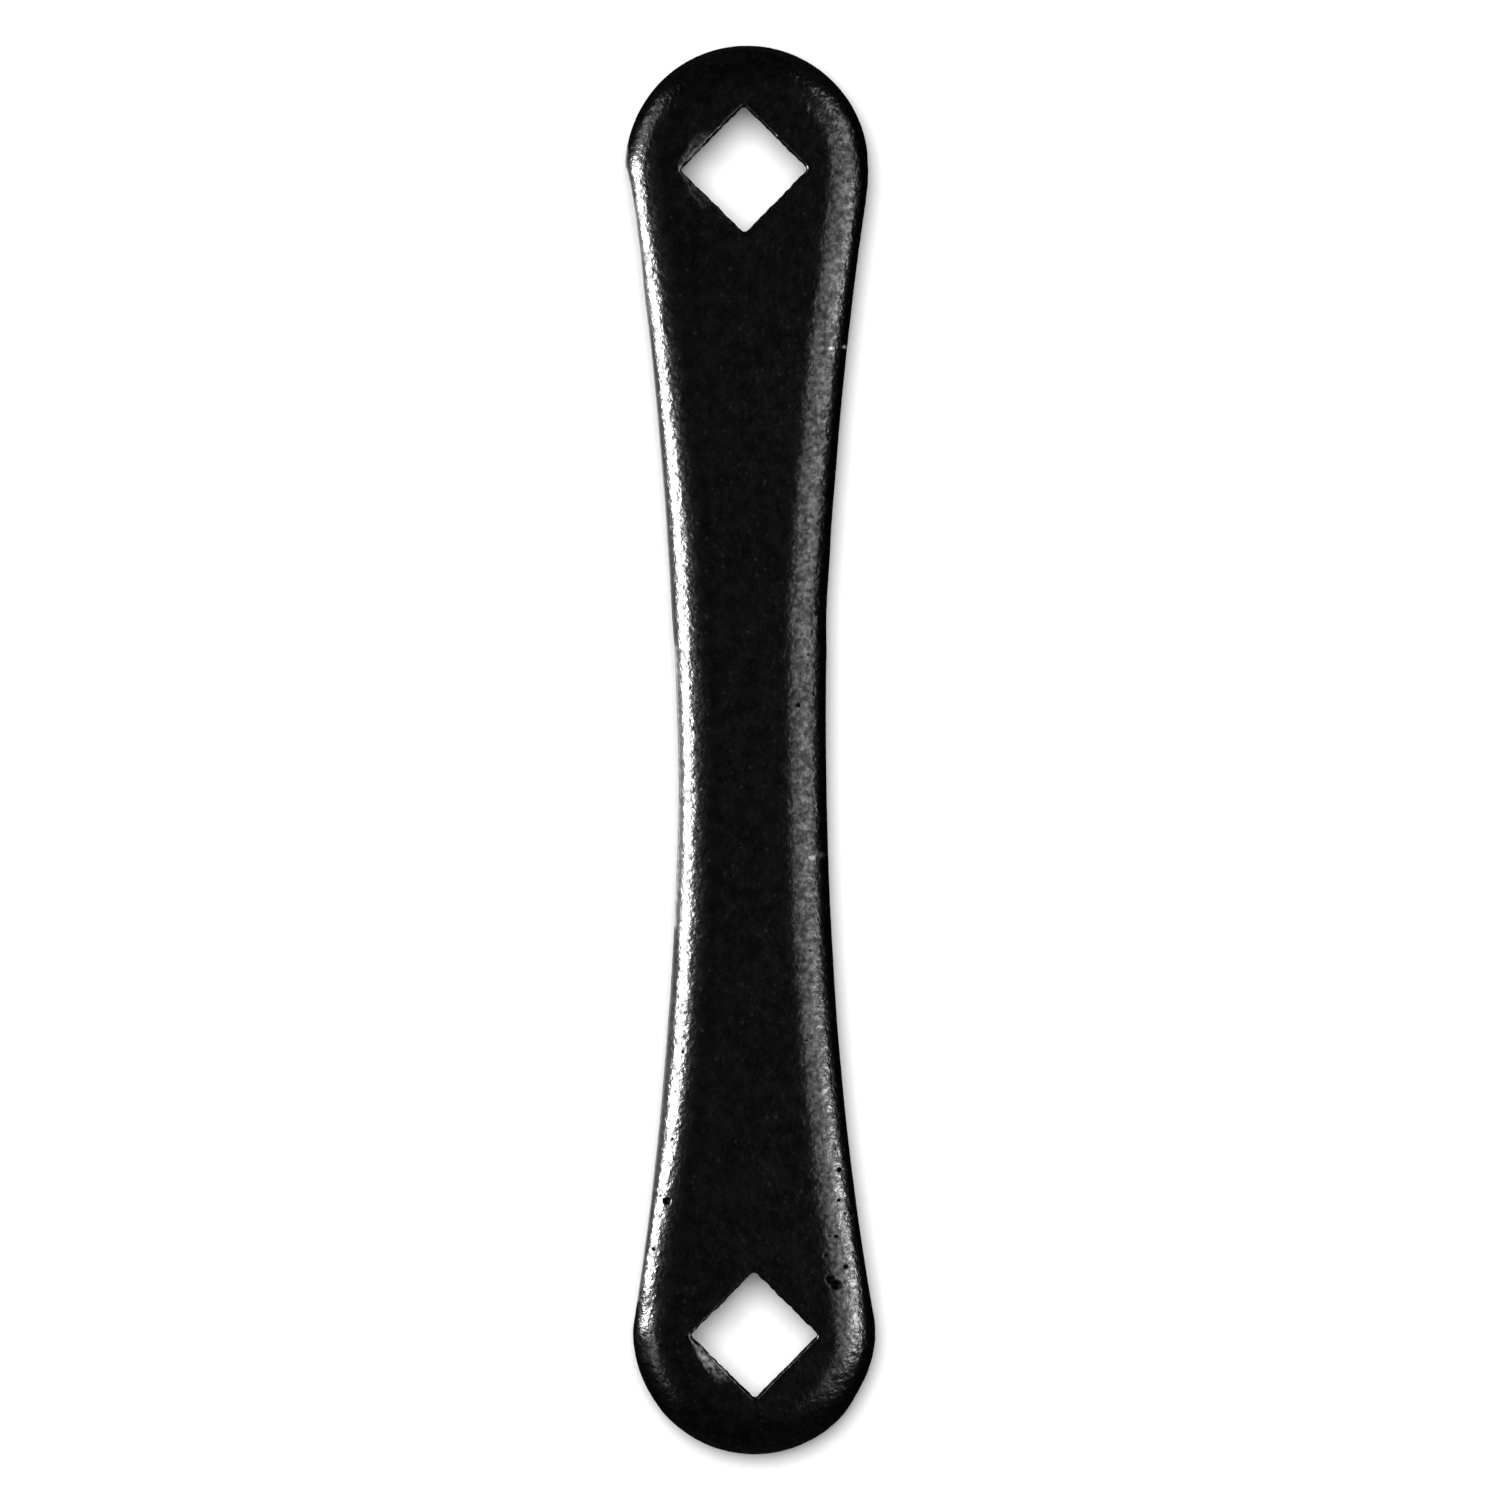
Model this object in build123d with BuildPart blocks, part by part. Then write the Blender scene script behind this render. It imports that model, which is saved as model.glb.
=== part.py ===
"""Double-ended square-socket key for the valve stems of small gas cylinders.

The real key is one casting: a flat handle, waisted in the middle, with a round head at each end and a
square socket through each head. It has no other piece, so this file makes one solid.

Frame: +Z is up through the thickness and +Y runs along the handle. The origin is the middle of the
underside, so the key lies on the plane z = 0. Lengths are in millimetres.
"""

import os

from build123d import *

# Driving dimensions
overall_length = 152.4  # 6 in, end to end
head_diameter = 26.3
waist_width = 16.0
thickness = 6.35  # 1/4 in
stem_size = 9.525  # 3/8 in, across the flats of the valve stem that the sockets turn
stem_clearance = 0.3  # how much wider a socket is than the stem

# Where a flank meets a head there is a slight shoulder. The mould left two of them crisp and two soft.
crisp_shoulder_radius = 6.0
soft_shoulder_radius = 10.0

# Both faces roll down to the rim on a quarter ellipse, which leaves a short upright band all round
roll_width = 4.8
roll_drop = 2.85
border_lap = 0.6  # the border's section runs this much further in, into the flat middle, to join it

socket_corner_radius = 0.4
socket_lip_radius = 0.3

# Worked out from the above
head_radius = head_diameter / 2
head_centre = overall_length / 2 - head_radius
socket_size = stem_size + stem_clearance
half_thickness = thickness / 2
half_band = half_thickness - roll_drop

# The outline, at half height: two half circles, joined by flanks that are arcs through the waist
with BuildSketch(Plane.XY.offset(half_thickness)) as outline:
    with BuildLine():
        for end in (1, -1):
            ThreePointArc(
                (-head_radius, end * head_centre),
                (0, end * overall_length / 2),
                (head_radius, end * head_centre),
            )
            ThreePointArc(
                (end * head_radius, -head_centre),
                (end * waist_width / 2, 0),
                (end * head_radius, head_centre),
            )
    make_face()
    fillet([v for v in outline.vertices() if v.X * v.Y < 0], radius=crisp_shoulder_radius)
    fillet([v for v in outline.vertices() if v.X * v.Y > 0], radius=soft_shoulder_radius)

# The rolled border's section, standing across the rim. Its x is 0 at the rim and negative inside it.
rim = outline.sketch.wire()
along_rim = rim % 0
outward = Axis.Z.direction.cross(along_rim)
with BuildSketch(Plane(origin=rim @ 0, x_dir=outward, z_dir=along_rim)) as border_section:
    with BuildLine():
        EllipticalCenterArc((-roll_width, half_band), roll_width, roll_drop, 0, arc_size=90)
        Polyline(
            (-roll_width, half_thickness),
            (-roll_width - border_lap, half_thickness),
            (-roll_width - border_lap, -half_thickness),
            (-roll_width, -half_thickness),
        )
        EllipticalCenterArc((-roll_width, -half_band), roll_width, roll_drop, 270, arc_size=90)
        Line((0, -half_band), (0, half_band))
    make_face()

with BuildPart() as wrench_body:
    # The flat middle, inside the border. The sockets stand on their corners, so that a corner points
    # along the handle.
    with BuildSketch():
        add(outline.sketch_local)
        offset(amount=-roll_width - border_lap / 2)
        with Locations((0, head_centre), (0, -head_centre)):
            RectangleRounded(
                socket_size, socket_size, socket_corner_radius, rotation=45, mode=Mode.SUBTRACT
            )
    extrude(amount=thickness)

    # The sockets' edges are eased on both faces, so that the key finds the stem
    flats = wrench_body.faces().filter_by(Axis.Z)
    fillet([e for f in flats for w in f.inner_wires() for e in w.edges()], radius=socket_lip_radius)

    # The rolled border, all round
    sweep(border_section.sketch, path=rim)

wrench_body.part.label = "wrench_body"

os.makedirs("parts", exist_ok=True)
export_step(wrench_body.part, "parts/wrench_body.step")
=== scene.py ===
"""The looks of a black cast-iron valve key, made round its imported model.

The key lies flat, with its handle along Y and its upper face towards +Z. Its shape is worked out in
millimetres and turned into metres where Blender takes it.
"""

import math
import random

import bmesh
import bpy
from mathutils import Matrix, Vector, noise
from mathutils.geometry import delaunay_2d_cdt
from mathutils.kdtree import KDTree


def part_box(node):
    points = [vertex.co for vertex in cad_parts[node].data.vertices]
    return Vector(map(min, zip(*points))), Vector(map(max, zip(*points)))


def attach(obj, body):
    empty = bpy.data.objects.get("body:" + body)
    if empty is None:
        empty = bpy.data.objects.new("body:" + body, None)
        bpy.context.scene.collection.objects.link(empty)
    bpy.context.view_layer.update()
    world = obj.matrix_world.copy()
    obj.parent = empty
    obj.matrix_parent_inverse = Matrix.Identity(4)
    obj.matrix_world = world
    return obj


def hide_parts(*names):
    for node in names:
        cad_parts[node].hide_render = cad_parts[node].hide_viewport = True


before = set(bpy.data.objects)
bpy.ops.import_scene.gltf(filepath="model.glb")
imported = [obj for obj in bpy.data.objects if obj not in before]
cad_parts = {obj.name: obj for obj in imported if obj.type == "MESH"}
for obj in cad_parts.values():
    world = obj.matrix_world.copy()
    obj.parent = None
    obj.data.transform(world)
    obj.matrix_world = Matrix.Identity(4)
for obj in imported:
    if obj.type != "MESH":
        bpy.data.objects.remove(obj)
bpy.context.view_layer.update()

MM = 0.001
key_low, key_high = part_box("wrench_body")

# ---------------------------------------------------------------- The key's measures, in millimetres
half_length = (key_high[1] - key_low[1]) / 2 / MM
half_width = (key_high[0] - key_low[0]) / 2 / MM
thickness = (key_high[2] - key_low[2]) / MM
head_radius = 13.15
waist_half = 8.0
crisp_shoulder = 6.0
soft_shoulder = 10.0
roll_width = 4.8
roll_drop = 2.85
narrowest_band = 0.4
socket_half = 4.9125
socket_corner = 0.4
lip_radius = 0.3
socket_ragged = 0.24

head_centre = half_length - head_radius
# The cores that made the sockets sat a little off the heads' middles
socket_middles = [Vector((-0.30, head_centre - 0.25)), Vector((0.02, -head_centre - 0.20))]
flank_radius = (head_centre**2 + (head_radius - waist_half) ** 2) / (2 * (head_radius - waist_half))

# ---------------------------------------------------------------- How finely the skin is divided
rim_step = 0.31
roll_rows = 23
face_step = 0.42
# As shares of face_step: how much the grid's points stray, and how far they keep from the edges
face_jitter = 0.12
edge_gap = 0.55
socket_side_steps = 36
socket_corner_steps = 5
lip_rows = 4
wall_rows = 9
mark_cuts = 3

# How the casting strays from its drawing, along the key: y, then on the left and on the right side how deep
# the upper roll is, as a share of roll_drop, and how far the rim stands out from its drawn place.
stations = [
    (-77.0, (1.08, 0.00), (1.04, 0.00)),
    (-72.5, (1.18, -0.04), (1.06, -0.06)),
    (-69.5, (1.26, -0.08), (1.10, -0.26)),
    (-65.5, (1.26, -0.04), (1.16, -0.04)),
    (-61.5, (1.06, 0.05), (1.12, 0.12)),
    (-57.5, (0.82, 0.05), (0.88, 0.08)),
    (-50.0, (0.90, 0.02), (0.86, 0.04)),
    (-42.0, (1.16, 0.04), (0.92, 0.04)),
    (-32.0, (1.22, 0.04), (0.98, 0.08)),
    (-20.0, (1.06, -0.08), (1.02, 0.17)),
    (-5.0, (0.93, -0.22), (1.01, 0.20)),
    (10.0, (0.94, -0.04), (1.00, 0.17)),
    (15.0, (1.02, 0.14), (1.00, 0.04)),
    (22.0, (1.04, 0.18), (1.00, 0.16)),
    (32.0, (0.96, 0.18), (1.00, 0.29)),
    (48.0, (0.86, 0.04), (0.96, 0.31)),
    (55.0, (0.74, -0.20), (0.92, 0.31)),
    (58.5, (0.70, -0.28), (0.90, 0.32)),
    (60.8, (0.76, -0.26), (0.96, 0.26)),
    (62.5, (0.88, -0.17), (1.00, 0.10)),
    (63.4, (1.00, 0.01), (1.05, 0.00)),
    (69.0, (1.06, -0.02), (1.08, 0.02)),
    (77.0, (1.06, 0.00), (1.06, 0.00)),
]

# Blow holes that the mould left in the upper face: x, y, radius, depth
blow_holes = [
    (-9.3, -48.7, 0.34, 0.30),
    (8.85, -57.85, 0.48, 0.38),
    (8.2, -57.3, 0.40, 0.26),
    (9.2, -48.7, 0.15, 0.12),
    (9.3, -45.4, 0.22, 0.18),
    (8.9, -52.6, 0.16, 0.12),
    (9.95, -55.9, 0.20, 0.14),
    (7.8, -54.7, 0.22, 0.14),
    (-7.5, -32.6, 0.14, 0.10),
    (5.8, -31.4, 0.14, 0.10),
    (5.2, 4.8, 0.20, 0.10),
    (-10.8, -53.9, 0.15, 0.12),
    (-8.7, -42.0, 0.12, 0.10),
    (-7.8, 69.6, 0.12, 0.06),
    (-7.9, 66.0, 0.10, 0.05),
    (3.8, -24.4, 0.10, 0.06),
]

# Socket edges that the stem has beaten down: which socket, which side, the x of the worst of it from the
# socket's middle, its reach, and how deep
worn_edges = [
    (0, -1, 1, -5.2, 2.4, 0.11),
    (0, -1, -1, -5.2, 2.2, 0.08),
    (1, -1, -1, -4.7, 2.7, 0.23),
]
worn_width = 1.5
# How bare they are for each millimetre they are beaten down. The bare grey there is partly worn coating and
# partly painted sheen, a pale colour standing in for the light that the dished edges catch.
rubbed_bare_and_sheen = 1.75
# All of them lie left of this x
worn_until = -2.5

# Knocks near the right rim that took the coating off: x, y, radius, how much of it
knocks = [(9.0, 43.4, 0.36, 0.6), (10.5, 43.5, 0.44, 1.0), (6.6, -11.7, 0.48, 0.6), (7.5, -11.4, 0.7, 0.3)]
knock_depth = 0.03

# The low unevenness of the whole skin: how deep, how far apart its humps are, and its seed
skin_waves = [(0.050, 7.0, 3), (0.026, 2.6, 11), (0.018, 1.1, 23)]
parting_height = 0.04
parting_half_width = 0.12
# Marks stay on skin whose normal rises at least this much
faces_up = 0.05


# ================================================================ The outline
def shoulder(radius):
    """The rounding where the right flank meets the upper head: its centre and its two end angles."""
    head = Vector((0, head_centre))
    flank = Vector((waist_half + flank_radius, 0))
    to_head, to_flank = head_radius - radius, flank_radius + radius
    between = flank - head
    apart = between.length
    along = (to_head**2 - to_flank**2 + apart**2) / (2 * apart)
    aside = math.sqrt(to_head**2 - along**2)
    unit = between / apart
    places = [head + unit * along + Vector((-unit.y, unit.x)) * side for side in (aside, -aside)]
    centre = max(places, key=lambda place: place.x)
    flank_way, head_way = flank - centre, centre - head
    return centre, math.atan2(flank_way.y, flank_way.x), math.atan2(head_way.y, head_way.x)


def outline_arcs():
    """The outline, anticlockwise from the waist's right side, as (centre, radius, from angle, to angle).

    A point of an arc is its centre plus its radius times the outward direction, so the radius of a flank,
    which curves inwards, is negative.
    """
    soft, soft_flank, soft_head = shoulder(soft_shoulder)
    crisp, crisp_flank, crisp_head = shoulder(crisp_shoulder)
    far = waist_half + flank_radius
    upper = [
        (Vector((far, 0)), -flank_radius, 0, soft_flank),
        (soft, soft_shoulder, soft_flank, soft_head),
        (Vector((0, head_centre)), head_radius, soft_head, math.pi - crisp_head),
        (Vector((-crisp.x, crisp.y)), crisp_shoulder, math.pi - crisp_head, math.pi - crisp_flank),
        (Vector((-far, 0)), -flank_radius, math.pi - crisp_flank, math.pi),
    ]
    lower = [(-centre, radius, a + math.pi, b + math.pi) for centre, radius, a, b in upper]
    return upper + lower


def outline_columns():
    """Points evenly along the rim, each with the direction that faces outwards there."""
    columns = []
    for centre, radius, start, stop in outline_arcs():
        steps = max(3, round(abs(radius) * abs(stop - start) / rim_step))
        for step in range(steps):
            angle = start + (stop - start) * step / steps
            out = Vector((math.cos(angle), math.sin(angle)))
            columns.append((centre + out * radius, out))
    return columns


def socket_columns(middle):
    """Points round one socket's wall, a square on its corner, each with its direction from the middle."""
    columns = []
    straight = socket_half - socket_corner
    for side in range(4):
        facing = math.radians(45 + 90 * side)
        out = Vector((math.cos(facing), math.sin(facing)))
        along = Vector((-out.y, out.x))
        for step in range(socket_side_steps):
            travel = straight * (2 * step / socket_side_steps - 1)
            columns.append((middle + out * socket_half + along * travel, out))
        corner = middle + out * straight + along * straight
        for step in range(socket_corner_steps):
            turned = facing + math.pi / 2 * step / socket_corner_steps
            turn = Vector((math.cos(turned), math.sin(turned)))
            columns.append((corner + turn * socket_corner, turn))
    return columns


# ================================================================ The skin of the casting
def strayed(place):
    """(share of the roll's drop, how far out the rim stands) beside this point of the drawn rim."""
    for below, above in zip(stations, stations[1:]):
        if place.y <= above[0]:
            break
    part = (place.y - below[0]) / (above[0] - below[0])
    part = part * part * (3 - 2 * part)
    left, right = (Vector(below[side]).lerp(Vector(above[side]), part) for side in (1, 2))
    # The two sides run into each other round the ends of the heads
    drop, out = left.lerp(right, min(1.0, max(0.0, 0.5 + place.x / 8)))
    return drop, out * min(1.0, abs(place.x) / 4)


def roll_section():
    """The rim's section from the lower face round to the upper one, as (how far in, how deep, which face).

    Depths are shares of the roll's drop, measured from the nearer face: 0 on the face, 1 where the roll
    meets the upright band. The third number is 0 for the lower face and 1 for the upper, with the rows of
    the band between them.
    """
    lower, upper = [], []
    for row in range(roll_rows + 1):
        angle = math.pi / 2 * (1 - row / roll_rows)
        inset, depth = roll_width * (1 - math.cos(angle)), 1 - math.sin(angle)
        lower.append((inset, depth, 0.0))
        upper.append((inset, depth, 1.0))
    middle = [(0.0, 1.0, part) for part in (0.2, 0.38, 0.5, 0.62, 0.8)]
    return lower + middle + upper[::-1]


def lip_section():
    """A socket's section from the upper face down to the lower one: how far out of the wall, how high."""
    upper = []
    for row in range(lip_rows + 1):
        angle = math.pi / 2 * (1 - row / lip_rows)
        upper.append((lip_radius * (1 - math.cos(angle)), thickness - lip_radius * (1 - math.sin(angle))))
    wall = [
        (0, thickness - lip_radius - (thickness - 2 * lip_radius) * row / wall_rows)
        for row in range(1, wall_rows)
    ]
    lower = [(inset, thickness - height) for inset, height in upper]
    return upper + wall + lower[::-1]


def beyond_socket(x, y):
    """How far outside the nearest socket's wall a point lies, or below 0 inside it."""
    return min((abs(x - m.x) + abs(y - m.y)) / math.sqrt(2) for m in socket_middles) - socket_half


def inside_flat(x, y, rim_tree):
    """True for a point of the flat middle that is well clear of the roll and of both sockets."""
    reach = abs(y)
    if reach < head_centre:
        widest = waist_half + flank_radius - math.sqrt(flank_radius**2 - reach**2)
    elif reach < half_length:
        widest = math.sqrt(head_radius**2 - (reach - head_centre) ** 2)
    else:
        return False
    if abs(x) >= widest:
        return False
    if rim_tree.find((x, y, 0))[2] < roll_width + edge_gap * face_step:
        return False
    return beyond_socket(x, y) > lip_radius + edge_gap * face_step


def flat_points(columns, draw):
    """A jittered hexagonal grid over the flat middle."""
    rim_tree = KDTree(len(columns))
    for number, (place, _) in enumerate(columns):
        rim_tree.insert((place.x, place.y, 0), number)
    rim_tree.balance()
    points = []
    row_gap = face_step * math.sqrt(3) / 2
    rows = int(half_length / row_gap)
    across = int(head_radius / face_step) + 1
    for row in range(-rows, rows + 1):
        shift = face_step / 2 if row % 2 else 0
        for column in range(-across, across + 1):
            x = column * face_step + shift + draw.uniform(-face_jitter, face_jitter) * face_step
            y = row * row_gap + draw.uniform(-face_jitter, face_jitter) * face_step
            if inside_flat(x, y, rim_tree):
                points.append(Vector((x, y)))
    return points


def ring_faces(faces, rows, columns, start):
    """Quads between the rows of a closed band of points."""
    for row in range(rows - 1):
        for column in range(columns):
            after = (column + 1) % columns
            low, high = start + row * columns, start + (row + 1) * columns
            faces.append((low + column, low + after, high + after, high + column))


def key_skin():
    """The whole skin as points and faces, before the casting's unevenness."""
    draw = random.Random(7)
    points, faces = [], []
    rim, drops = [], []
    for place, out in outline_columns():
        drop, stray = strayed(place)
        across = min(half_width, abs(place.x) + stray)
        rim.append((Vector((math.copysign(across, place.x), place.y)), out))
        # Where the upper roll is deep the lower one gives way, so that an upright band is always left
        upper_drop = roll_drop * drop
        drops.append((min(upper_drop, thickness - narrowest_band - upper_drop), upper_drop))
    section = roll_section()
    for inset, depth, up in section:
        for (place, out), (lower_drop, upper_drop) in zip(rim, drops):
            spot = place - out * inset
            height = depth * lower_drop * (1 - up) + (thickness - depth * upper_drop) * up
            points.append((spot.x, spot.y, height))
    ring_faces(faces, len(section), len(rim), 0)
    lower_edge = list(range(len(rim)))
    upper_edge = list(range((len(section) - 1) * len(rim), len(section) * len(rim)))

    upper_loops, lower_loops = [upper_edge], [lower_edge]
    lip = lip_section()
    for middle in socket_middles:
        socket = socket_columns(middle)
        start = len(points)
        for inset, height in lip:
            for place, out in socket:
                spot = place + out * inset
                points.append((spot.x, spot.y, height))
        ring_faces(faces, len(lip), len(socket), start)
        upper_loops.append(list(range(start, start + len(socket))))
        lower_loops.append(list(range(len(points) - len(socket), len(points))))

    inner = flat_points(rim, draw)
    for loops, height, facing_up in ((upper_loops, thickness, True), (lower_loops, 0, False)):
        flat, names, edges = [], [], []
        for loop in loops:
            first = len(flat)
            flat += [Vector(points[number][:2]) for number in loop]
            names += loop
            edges += [(first + n, first + (n + 1) % len(loop)) for n in range(len(loop))]
        for place in inner:
            names.append(len(points))
            points.append((place.x, place.y, height))
            flat.append(place)
        made, _, triangles, source, _, _ = delaunay_2d_cdt(flat, edges, [], 1, 1e-6)
        for triangle in triangles:
            centre = sum((made[n] for n in triangle), Vector((0, 0))) / 3
            if beyond_socket(centre.x, centre.y) < lip_radius:
                continue
            corners = [names[source[n][0]] for n in triangle]
            faces.append(tuple(corners if facing_up else corners[::-1]))
    return points, faces


def fall_off(distance, reach):
    """1 at the middle of a mark, smoothly down to 0 at its reach."""
    if distance >= reach:
        return 0.0
    part = 1 - (distance / reach) ** 2
    return part * part


def waves(place, size, seed):
    """Smooth unevenness between 0 and 1, its humps about size apart."""
    return 0.5 + 0.5 * noise.noise(place / size + Vector((seed, seed * 1.7, -seed)))


def socket_wear(place):
    """How far the face is beaten down along the worn socket edges, and how bare it is there. That bareness
    is partly worn coating and partly painted sheen.
    """
    sink = bare_and_sheen = 0.0
    for socket, side_x, side_y, knocked_x, reach, amount in worn_edges:
        middle = socket_middles[socket]
        x, y = place.x - middle.x, place.y - middle.y
        away = (side_x * x + side_y * y) / math.sqrt(2) - socket_half
        share = fall_off(abs(x - knocked_x), reach)
        width = worn_width * math.sqrt(share) * (0.7 + 0.6 * waves(place, 1.3, 17 + side_y))
        if share and -0.3 < away < width:
            near = 1 - max(away, 0) / width
            sink += amount * share * near * (0.85 + 0.3 * waves(place, 0.7, 40 + side_y))
            speckled = min(1.0, max(0.0, 2.4 * waves(place, 0.42, 51) - 0.6))
            bare_and_sheen = max(bare_and_sheen, rubbed_bare_and_sheen * amount * min(1.0, 3 * near * share) * speckled)
    return sink, bare_and_sheen


def bareness_and_sheen(place, facing):
    """How much of the coating is gone, from 0 to 1. Along the worn socket edges it is partly painted sheen
    as well.
    """
    if facing.z < faces_up:
        return 0.0
    bare_and_sheen = socket_wear(place)[1]
    for x, y, radius, gone in knocks:
        away = math.hypot((place.x - x) * 0.9, (place.y - y) * 1.3)
        bare_and_sheen = max(bare_and_sheen, gone * fall_off(away, radius * (0.6 + 0.8 * waves(place, 0.35, x))))
    return bare_and_sheen


def hole_depth(place, hole):
    """How deep a blow hole is here, as a share of its depth."""
    x, y, radius, _ = hole
    if abs(place.x - x) > 1.5 or abs(place.y - y) > 1.5:
        return 0.0
    ragged = 0.7 + 0.6 * waves(place, 0.5, x)
    return fall_off(math.hypot(place.x - x, place.y - y), radius * ragged * 1.4)


def painted_hole_shade(place, facing):
    """1 down in a blow hole, where the skin is painted near black as shade, and 0 on the skin round it."""
    if facing.z < faces_up:
        return 0.0
    return min(1.0, 6.0 * max(hole_depth(place, hole) for hole in blow_holes))


def unevenness(place, facing):
    """How far the real skin lies below the drawn one, in millimetres."""
    sink = sum(depth * waves(place, size, seed) for depth, size, seed in skin_waves)
    sink *= 0.4 + 0.6 * abs(facing.z)
    if facing.z > 0.2:
        sink += sum(hole[3] * hole_depth(place, hole) for hole in blow_holes)
        for x, y, radius, _ in knocks:
            sink += knock_depth * fall_off(math.hypot(place.x - x, place.y - y), radius)
        sink += socket_wear(place)[0]
    if beyond_socket(place.x, place.y) < lip_radius:
        # The cores were rough, so the sockets' walls wander
        along = Vector((place.x, place.y, 0.2 * place.z))
        sink += socket_ragged * (waves(along, 0.6, 61) - 0.5) * (1 - abs(facing.z))
    elif abs(facing.z) < 0.3:
        # The mould's parting line stands proud, half way up the rim
        from_line = abs(place.z - thickness / 2)
        proud = parting_height * (0.4 + 0.6 * waves(place, 3.0, 31))
        sink += proud * min(1.0, from_line / parting_half_width)
    return sink


def near_marks(place):
    """True on the upper face close to a mark or a worn edge, where the skin needs finer faces."""
    if place.z < thickness / 2:
        return False
    beside = -0.2 < beyond_socket(place.x, place.y) < worn_width + 0.2
    if beside and place.x < worn_until and place.z > thickness - 0.2:
        return True
    marks = blow_holes + knocks
    return any(math.hypot(place.x - x, place.y - y) < 1.5 * radius + 0.25 for x, y, radius, _ in marks)


def make_key():
    points, faces = key_skin()
    mesh = bpy.data.meshes.new("valve_key")
    mesh.from_pydata([Vector(point) for point in points], [], faces)
    fine = bmesh.new()
    fine.from_mesh(mesh)
    marked = [face for face in fine.faces if near_marks(face.calc_center_median())]
    edges = list(dict.fromkeys(edge for face in marked for edge in face.edges))
    bmesh.ops.subdivide_edges(fine, edges=edges, cuts=mark_cuts, use_grid_fill=True)
    fine.to_mesh(mesh)
    fine.free()
    facings = [vertex.normal.copy() for vertex in mesh.vertices]
    # Bare metal at the knocks, and along the worn socket edges partly painted sheen
    bare_and_sheen = mesh.attributes.new("bare_metal", "FLOAT", "POINT")
    # Mask for the painted shade in the blow holes, where the skin is painted near black
    hole_shade = mesh.attributes.new("blow_hole", "FLOAT", "POINT")
    for number, (vertex, facing) in enumerate(zip(mesh.vertices, facings)):
        bare_and_sheen.data[number].value = bareness_and_sheen(vertex.co, facing)
        hole_shade.data[number].value = painted_hole_shade(vertex.co, facing)
        vertex.co = (vertex.co - facing * unevenness(vertex.co, facing)) * MM
    mesh.polygons.foreach_set("use_smooth", [True] * len(mesh.polygons))
    mesh.update()
    key = bpy.data.objects.new("valve_key", mesh)
    bpy.context.collection.objects.link(key)
    return key


# ================================================================ Finishes
def new_material(name):
    material = bpy.data.materials.new(name)
    material.use_nodes = True
    material.node_tree.nodes.clear()
    return material


class Bench:
    """Lays out the nodes of one tree, and joins them up."""

    def __init__(self, tree):
        self.tree = tree

    def node(self, kind, inputs=None, **settings):
        made = self.tree.nodes.new(kind)
        for name, value in settings.items():
            setattr(made, name, value)
        for name, value in (inputs or {}).items():
            self.feed(value, made.inputs[name])
        return made

    def feed(self, value, socket):
        if isinstance(value, bpy.types.NodeSocket):
            self.tree.links.new(value, socket)
        else:
            socket.default_value = value

    def math(self, operation, a, b=0.0, clamp=False):
        made = self.node("ShaderNodeMath", {0: a, 1: b}, operation=operation, use_clamp=clamp)
        return made.outputs[0]

    def ramp(self, value, low, high, to_low=0.0, to_high=1.0):
        """Value taken smoothly from the range low..high to the range to_low..to_high."""
        made = self.node(
            "ShaderNodeMapRange",
            {"Value": value, "From Min": low, "From Max": high, "To Min": to_low, "To Max": to_high},
            interpolation_type="SMOOTHSTEP",
        )
        return made.outputs[0]

    def shift(self, where, by):
        """The same place moved over, so that one noise doesn't repeat another."""
        return self.node("ShaderNodeVectorMath", {0: where, 1: by}).outputs[0]

    def noise(self, where, scale, detail=2.0, rough=0.5):
        made = self.node(
            "ShaderNodeTexNoise", {"Vector": where, "Scale": scale, "Detail": detail, "Roughness": rough}
        )
        return made.outputs[0]

    def mix(self, share, a, b):
        made = self.node("ShaderNodeMix", data_type="RGBA")
        for value, socket in ((share, made.inputs[0]), (a, made.inputs[6]), (b, made.inputs[7])):
            self.feed(value, socket)
        return made.outputs[2]


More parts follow.
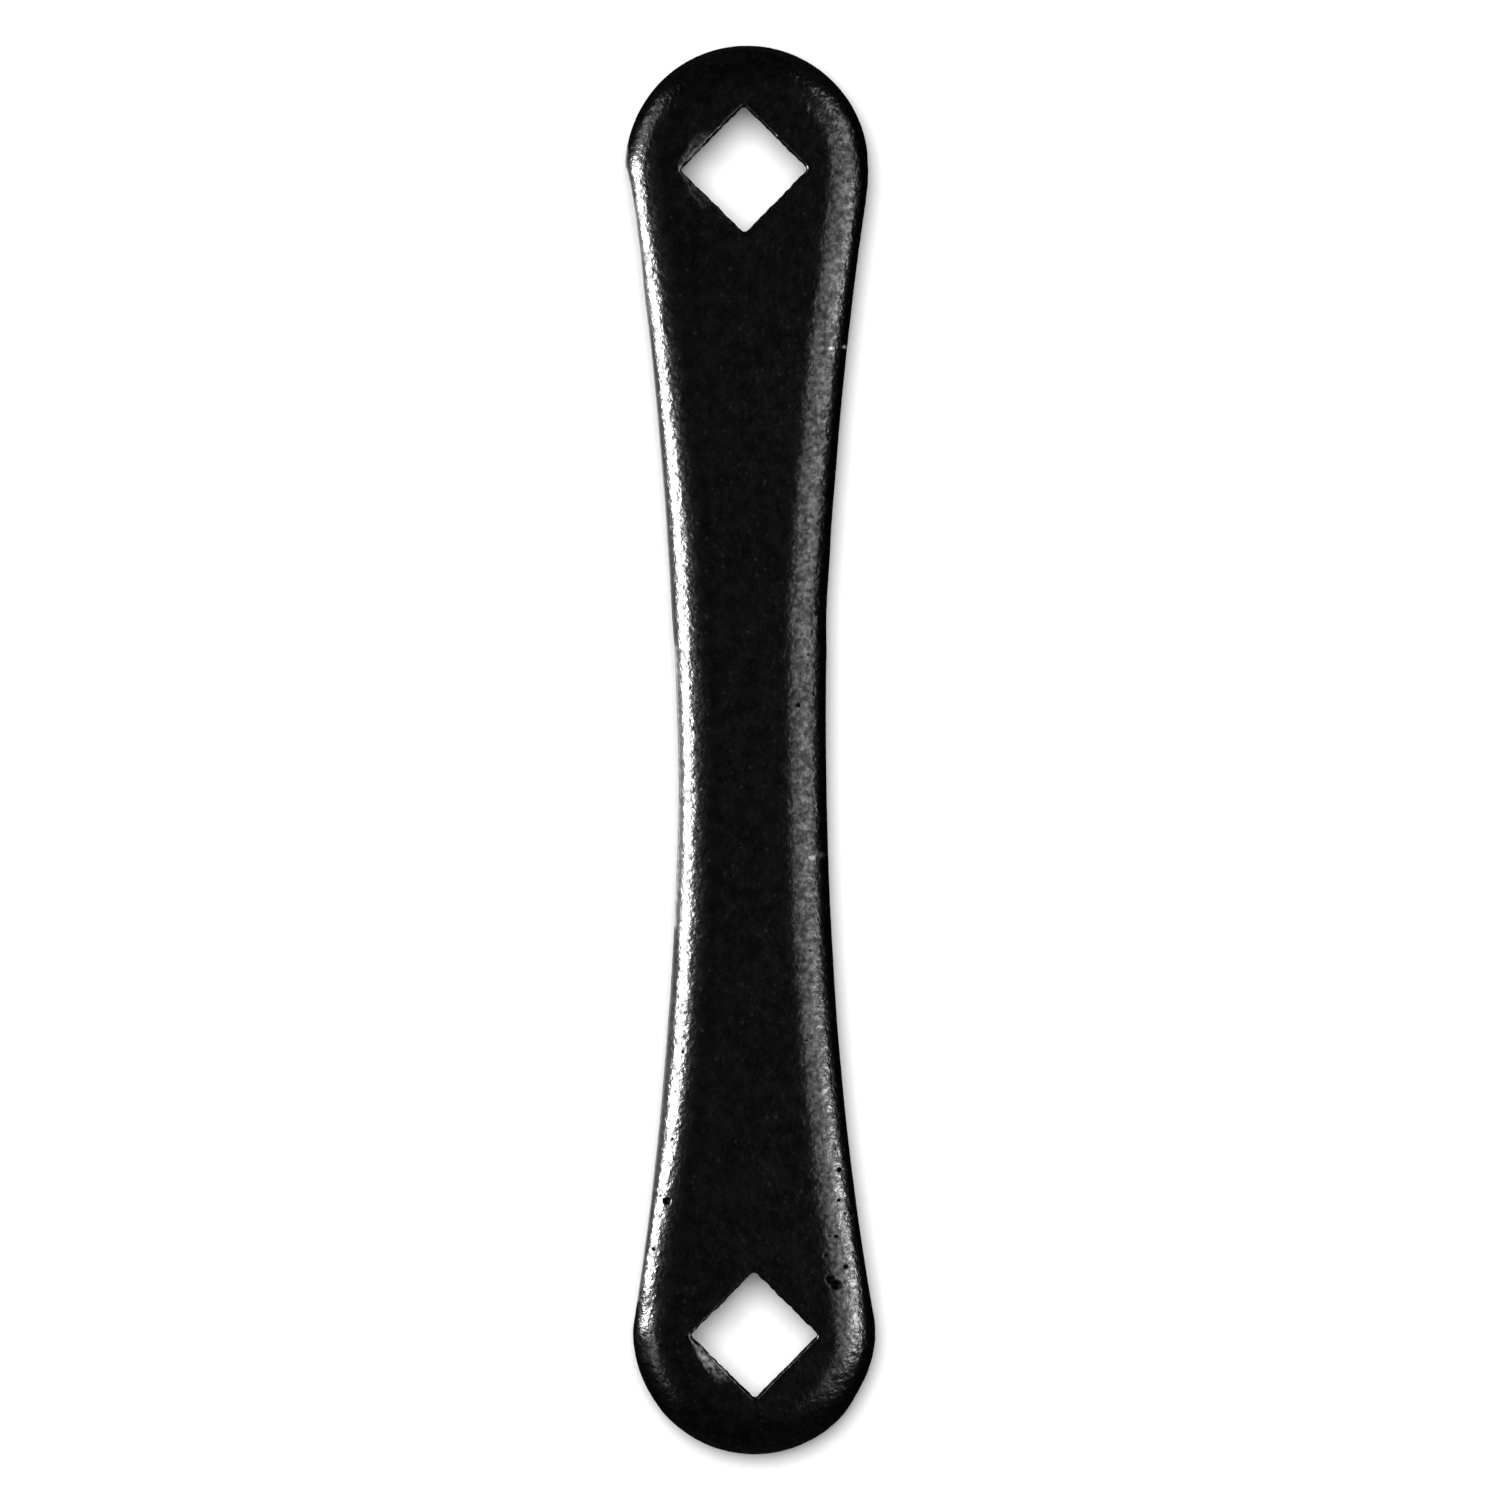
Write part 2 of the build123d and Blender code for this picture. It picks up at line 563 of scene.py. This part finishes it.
def black_casting_finish():
    """Blackened iron with an as-cast skin: a mottled satin sheen, fine grain, tiny pits, a little dust. The
    pits and blow holes are painted near black as shade, and the bare grey along the worn socket edges is
    partly painted sheen.
    """
    material = new_material("black_casting")
    bench = Bench(material.node_tree)
    where = bench.node("ShaderNodeTexCoord").outputs
    in_mm = bench.node("ShaderNodeVectorMath", {0: where["Object"], "Scale": 1 / MM}, operation="SCALE")
    in_mm = in_mm.outputs[0]

    facing = bench.node("ShaderNodeSeparateXYZ", {"Vector": where["Normal"]}).outputs
    rolled = bench.ramp(bench.math("ABSOLUTE", facing["Z"]), 0.90, 0.995, 1.0, 0.0)

    broad = bench.noise(in_mm, 0.25, 3.0)
    grain = bench.noise(in_mm, 1.7)
    sheen = bench.noise(bench.shift(in_mm, (7, 3, 5)), 1.8, 2.0, 0.6)
    patches = bench.noise(bench.shift(in_mm, (2, 9, 4)), 0.7, 3.0, 0.6)
    cells = bench.node("ShaderNodeTexVoronoi", {"Vector": in_mm, "Scale": 1.1, "Randomness": 1.0})
    chance = bench.node("ShaderNodeSeparateColor", {"Color": cells.outputs["Color"]}).outputs[0]
    pit = bench.ramp(cells.outputs["Distance"], 0.10, 0.26, 1.0, 0.0)
    pit = bench.math("MULTIPLY", pit, bench.ramp(chance, 0.60, 0.90))

    height = bench.math("MULTIPLY", grain, bench.ramp(rolled, 0.0, 1.0, 0.045, 0.085))
    height = bench.math("SUBTRACT", height, bench.math("MULTIPLY", pit, 0.008))
    bump = bench.node("ShaderNodeBump", {"Height": height, "Distance": MM, "Strength": 1.0})

    dust = bench.node("ShaderNodeTexVoronoi", {"Vector": in_mm, "Scale": 0.32, "Randomness": 1.0})
    dust_chance = bench.node("ShaderNodeSeparateColor", {"Color": dust.outputs["Color"]})
    speck = bench.ramp(dust.outputs["Distance"], 0.012, 0.036, 1.0, 0.0)
    speck = bench.math("MULTIPLY", speck, bench.ramp(dust_chance.outputs[1], 0.60, 0.80))
    bare_and_sheen = bench.node("ShaderNodeAttribute", attribute_name="bare_metal").outputs["Fac"]
    hole_shade = bench.node("ShaderNodeAttribute", attribute_name="blow_hole").outputs["Fac"]

    tone = bench.mix(bench.ramp(broad, 0.3, 0.7), (0.041, 0.041, 0.042, 1), (0.050, 0.050, 0.050, 1))
    tone = bench.mix(bench.ramp(sheen, 0.32, 0.54, 0.90, 0.0), tone, (0.016, 0.016, 0.016, 1))
    tone = bench.mix(bench.ramp(sheen, 0.48, 0.70, 0.0, 0.9), tone, (0.085, 0.085, 0.083, 1))
    tone = bench.mix(bench.ramp(patches, 0.34, 0.52, 0.55, 0.0), tone, (0.016, 0.016, 0.016, 1))
    tone = bench.mix(bench.ramp(patches, 0.50, 0.70, 0.0, 0.4), tone, (0.080, 0.080, 0.080, 1))
    # Painted shade: the pits and blow holes are painted near black, standing in for the shade down in them,
    # and are made rougher
    pit_and_hole_shade = bench.math("MAXIMUM", bench.math("MULTIPLY", pit, 0.75), hole_shade)
    tone = bench.mix(pit_and_hole_shade, tone, (0.003, 0.003, 0.003, 1))
    tone = bench.mix(bench.math("MULTIPLY", speck, 0.5), tone, (0.05, 0.05, 0.05, 1))
    # Bare grey, not metallic: worn coating at the knocks, and along the worn socket edges partly painted
    # sheen that stands in for the light the dished edges catch
    tone = bench.mix(bare_and_sheen, tone, (0.40, 0.39, 0.37, 1))
    dull = bench.math("MAXIMUM", bench.math("MULTIPLY", speck, 0.6), bench.math("MULTIPLY", bare_and_sheen, 0.8))
    metal = bench.math("SUBTRACT", 1.0, dull)
    rough = bench.math("ADD", 0.20, bench.ramp(sheen, 0.3, 0.6, 0.08, 0.0))
    rough = bench.math("ADD", rough, bench.math("MULTIPLY", pit_and_hole_shade, 0.35), clamp=True)

    skin = bench.node(
        "ShaderNodeBsdfPrincipled",
        {"Base Color": tone, "Roughness": rough, "Normal": bump.outputs[0], "Metallic": metal},
    )
    bench.node("ShaderNodeOutputMaterial", {"Surface": skin.outputs[0]})
    return material


def table_finish():
    """Matt white board, barely mottled."""
    material = new_material("white_board")
    bench = Bench(material.node_tree)
    place = bench.node("ShaderNodeTexCoord").outputs["Object"]
    mottle = bench.noise(place, 60.0, 3.0)
    tone = bench.mix(bench.ramp(mottle, 0.3, 0.7), (0.80, 0.80, 0.80, 1), (0.82, 0.82, 0.82, 1))
    board = bench.node(
        "ShaderNodeBsdfPrincipled", {"Base Color": tone, "Roughness": 0.9, "Specular IOR Level": 0.0}
    )
    bench.node("ShaderNodeOutputMaterial", {"Surface": board.outputs[0]})
    return material


# ================================================================ Studio
# What the black skin reflects, in metres: name, centre, the place it shines towards, its length along Y, its
# width, and its radiance. The cards lie just above the table and light the underside of the left rim.
soft_panels = [
    ("left_panel", (-0.232, 0.0120, 0.075), (0, 0.0120, 0), 0.120, 0.126, 50),
    ("left_far_panel", (-0.240, 0.155, 0.130), (0, 0.07, 0), 0.150, 0.13, 2.2),
    ("left_near_panel", (-0.200, -0.115, 0.150), (0, -0.075, 0), 0.080, 0.08, 2.0),
    ("left_card", (-0.079, 0.003, 0.0003), (-0.079, 0.003, 1), 0.125, 0.139, 0.9),
    ("left_waist_card", (-0.049, -0.004, 0.0006), (-0.049, -0.004, 1), 0.030, 0.080, 2.0),
    ("left_shoulder_card", (-0.052, 0.0515, 0.0006), (-0.052, 0.0515, 1), 0.013, 0.070, 3.0),
    ("left_high_panel", (-0.170, 0.010, 0.165), (0, 0.010, 0), 0.024, 0.075, 2.6),
    ("right_panel", (0.19, 0.045, 0.17), (0, 0.045, 0), 0.350, 0.13, 2.6),
    ("right_high_panel", (0.12, 0.0, 0.23), (0, 0.0, 0), 0.240, 0.11, 1.8),
    ("right_low_panel", (0.088, -0.056, 0.069), (0.012, -0.056, 0.004), 0.039, 0.036, 11.5),
    ("right_top_panel", (0.050, 0.047, 0.033), (0.011, 0.057, 0.004), 0.014, 0.014, 5.5),
]


def make_table():
    reach = 6.0
    mesh = bpy.data.meshes.new("table_top")
    corners = [(-reach, -reach, 0), (reach, -reach, 0), (reach, reach, 0), (-reach, reach, 0)]
    mesh.from_pydata(corners, [], [(0, 1, 2, 3)])
    table = bpy.data.objects.new("table_top", mesh)
    bpy.context.collection.objects.link(table)
    table.visible_glossy = False
    mesh.materials.append(table_finish())


def soft_panel(name, centre, aim, long, wide, radiance):
    """A soft box that shows only as a reflection. Its long side runs along Y, and it shines towards aim."""
    light = bpy.data.lights.new(name, "AREA")
    light.shape = "RECTANGLE"
    light.size, light.size_y = wide, long
    light.energy = radiance * math.pi * long * wide
    panel = bpy.data.objects.new(name, light)
    bpy.context.collection.objects.link(panel)
    away = (Vector(centre) - Vector(aim)).normalized()
    side = Vector((0, 1, 0)).cross(away).normalized()
    up = away.cross(side)
    turn = Matrix((side, up, away)).transposed()
    panel.matrix_world = Matrix.Translation(centre) @ turn.to_4x4()
    panel.visible_camera = False
    panel.visible_diffuse = False


def key_light():
    """A broad high light from the upper left, which whitens the table and casts the soft shadow."""
    light = bpy.data.lights.new("overhead_light", "SUN")
    light.energy = 4.2
    light.angle = math.radians(47)
    lamp = bpy.data.objects.new("overhead_light", light)
    bpy.context.collection.objects.link(lamp)
    towards = Vector((-0.11, 0.215, 1.0))
    lamp.rotation_euler = towards.to_track_quat("Z", "Y").to_euler()
    lamp.visible_glossy = False


def studio_air():
    """The room: pale where the camera sees it, dim where the black skin reflects it."""
    world = bpy.data.worlds.new("studio_air")
    bpy.context.scene.world = world
    world.use_nodes = True
    world.node_tree.nodes.clear()
    bench = Bench(world.node_tree)
    ray = bench.node("ShaderNodeLightPath")
    way = bench.node("ShaderNodeTexCoord").outputs["Generated"]
    heading = bench.node("ShaderNodeSeparateXYZ", {"Vector": way}).outputs
    fill, pale = (0.12, 0.12, 0.12, 1), (1.0, 1.0, 1.0, 1)
    endwise = bench.ramp(bench.math("ABSOLUTE", heading["Y"]), 0.35, 0.95)
    walls = bench.mix(endwise, (0.006, 0.006, 0.006, 1), (0.055, 0.055, 0.058, 1))
    dim = bench.mix(bench.ramp(heading["Z"], 0.35, 1.0), walls, (0.036, 0.038, 0.046, 1))
    tone = bench.mix(ray.outputs["Is Glossy Ray"], fill, dim)
    tone = bench.mix(ray.outputs["Is Camera Ray"], tone, pale)
    air = bench.node("ShaderNodeBackground", {"Color": tone, "Strength": 1.0})
    bench.node("ShaderNodeOutputWorld", {"Surface": air.outputs[0]})


def make_camera():
    """Straight above the key's middle, on a long lens, turned a little so that the key's head leans left."""
    lens, sensor, field = 500.0, 36.0, 162.24
    aside, turned = -0.05, -0.354
    camera_data = bpy.data.cameras.new("camera")
    camera_data.lens, camera_data.sensor_width = lens, sensor
    camera_data.clip_start, camera_data.clip_end = 0.01, 20
    camera = bpy.data.objects.new("camera", camera_data)
    bpy.context.collection.objects.link(camera)
    camera.location = (aside * MM, 0, (field * lens / sensor + thickness / 2) * MM)
    camera.rotation_euler = (0, 0, math.radians(turned))
    bpy.context.scene.camera = camera


# ================================================================ Put together
key = make_key()
key.data.materials.append(black_casting_finish())
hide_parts("wrench_body")
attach(key, "root")

make_table()
make_camera()
studio_air()
key_light()
for panel in soft_panels:
    soft_panel(*panel)
bpy.context.scene.view_settings.view_transform = "Standard"
